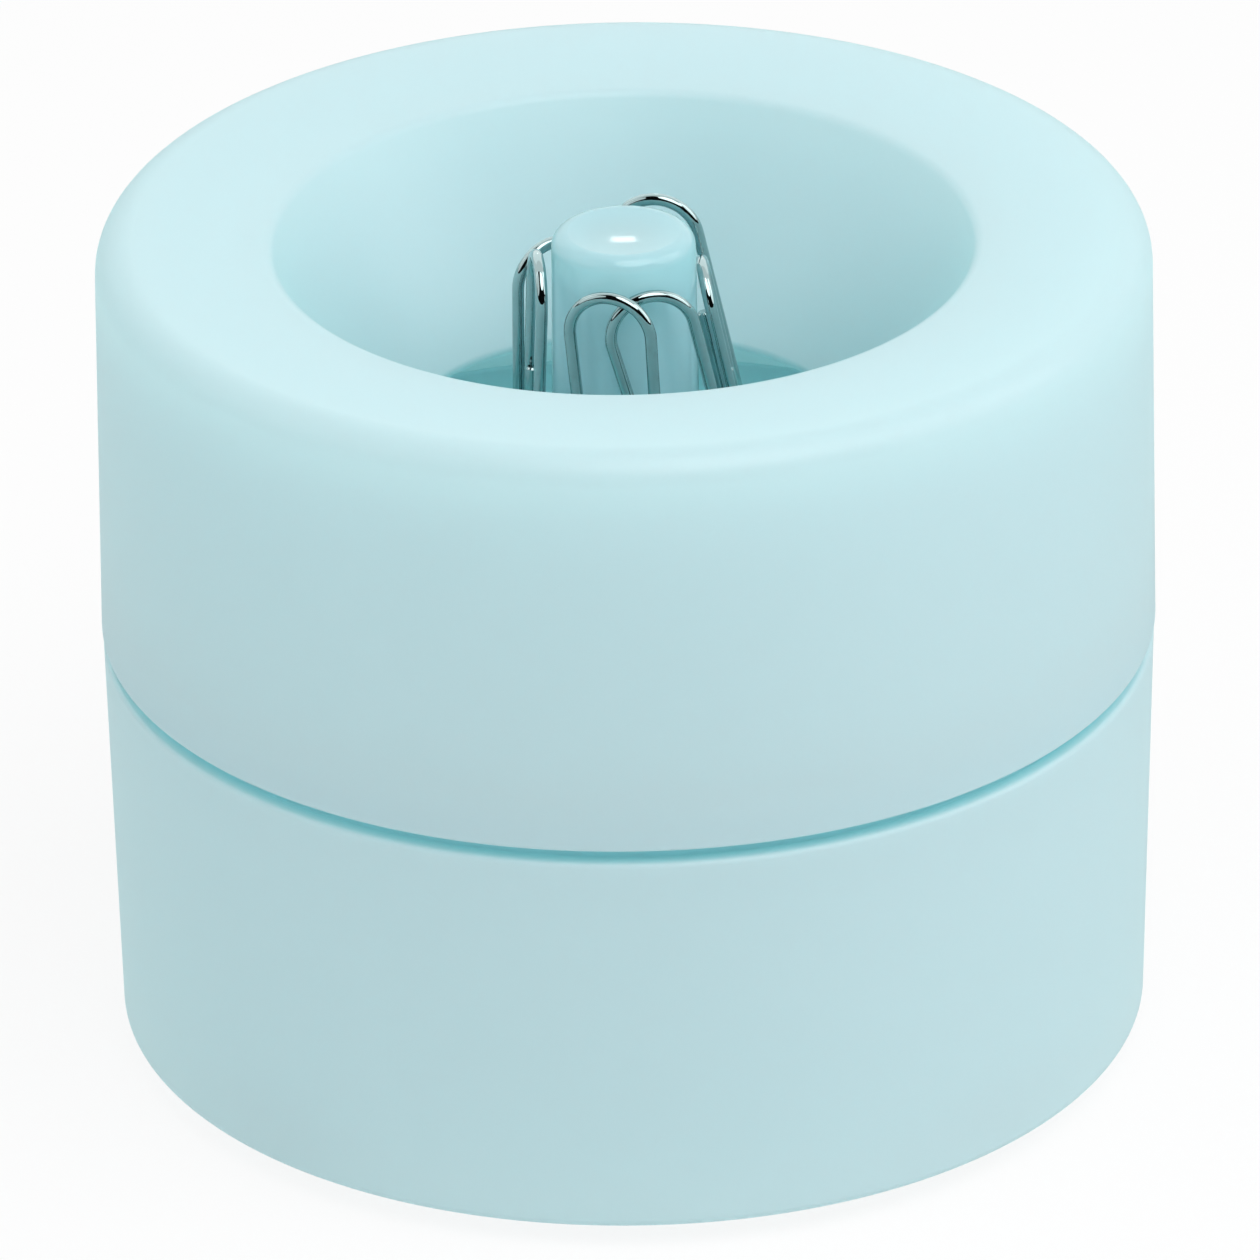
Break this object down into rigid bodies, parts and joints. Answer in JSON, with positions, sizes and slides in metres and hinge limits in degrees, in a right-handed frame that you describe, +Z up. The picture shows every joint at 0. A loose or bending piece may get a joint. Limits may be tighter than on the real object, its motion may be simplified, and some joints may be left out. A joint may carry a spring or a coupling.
{
  "type": "magnetic paper clip holder",
  "caption": "Round two-part desk pot with a funnel top and a magnet post in the middle that holds paper clips upright for picking.",
  "frame": {"origin": "on the table plane, under the middle of the post", "axes": "+Z up along the post, -Y towards the front of the picture"},
  "size_m": [0.073, 0.073, 0.06],
  "materials": {
    "shell_plastic": "satin pale aqua moulding",
    "post_plastic": "polished pale aqua moulding",
    "plated_magnet": "nickel plate",
    "inner_plastic": "satin pale aqua moulding",
    "foot_rubber": "soft grey rubber",
    "clip_steel": "bright plated wire"
  },
  "bodies": {
    "holder": {"base_cup": "shell_plastic", "magnet_post": "post_plastic", "bar_magnet": "plated_magnet", "post_plug": "inner_plastic", "foot_pad_1": "foot_rubber", "foot_pad_2": "foot_rubber", "foot_pad_3": "foot_rubber", "foot_pad_4": "foot_rubber"},
    "top": {"funnel_top": "shell_plastic"},
    "clip_left_back": {"clip_left_back": "clip_steel"},
    "clip_left": {"clip_left": "clip_steel"},
    "clip_front_left": {"clip_front_left": "clip_steel"},
    "clip_front_right": {"clip_front_right": "clip_steel"},
    "clip_right": {"clip_right": "clip_steel"},
    "clip_right_back": {"clip_right_back": "clip_steel"}
  },
  "joints": [
    {"name": "top_lift", "type": "slide", "parent": "holder", "child": "top", "axis": [0, 0, 1], "range_m": [0, 0.04]},
    {"name": "clip_left_back_pull", "type": "slide", "parent": "holder", "child": "clip_left_back", "axis": [0, 0, 1], "range_m": [0, 0.04]},
    {"name": "clip_left_pull", "type": "slide", "parent": "holder", "child": "clip_left", "axis": [0, 0, 1], "range_m": [0, 0.04]},
    {"name": "clip_front_left_pull", "type": "slide", "parent": "clip_front_right", "child": "clip_front_left", "axis": [-0.0204, -0.0667, 0.9976], "range_m": [0, 0.04]},
    {"name": "clip_front_right_pull", "type": "slide", "parent": "holder", "child": "clip_front_right", "axis": [0, 0, 1], "range_m": [0, 0.04]},
    {"name": "clip_right_pull", "type": "slide", "parent": "holder", "child": "clip_right", "axis": [0, 0, 1], "range_m": [0, 0.04]},
    {"name": "clip_right_back_pull", "type": "slide", "parent": "holder", "child": "clip_right_back", "axis": [0, 0, 1], "range_m": [0, 0.04]}
  ]
}
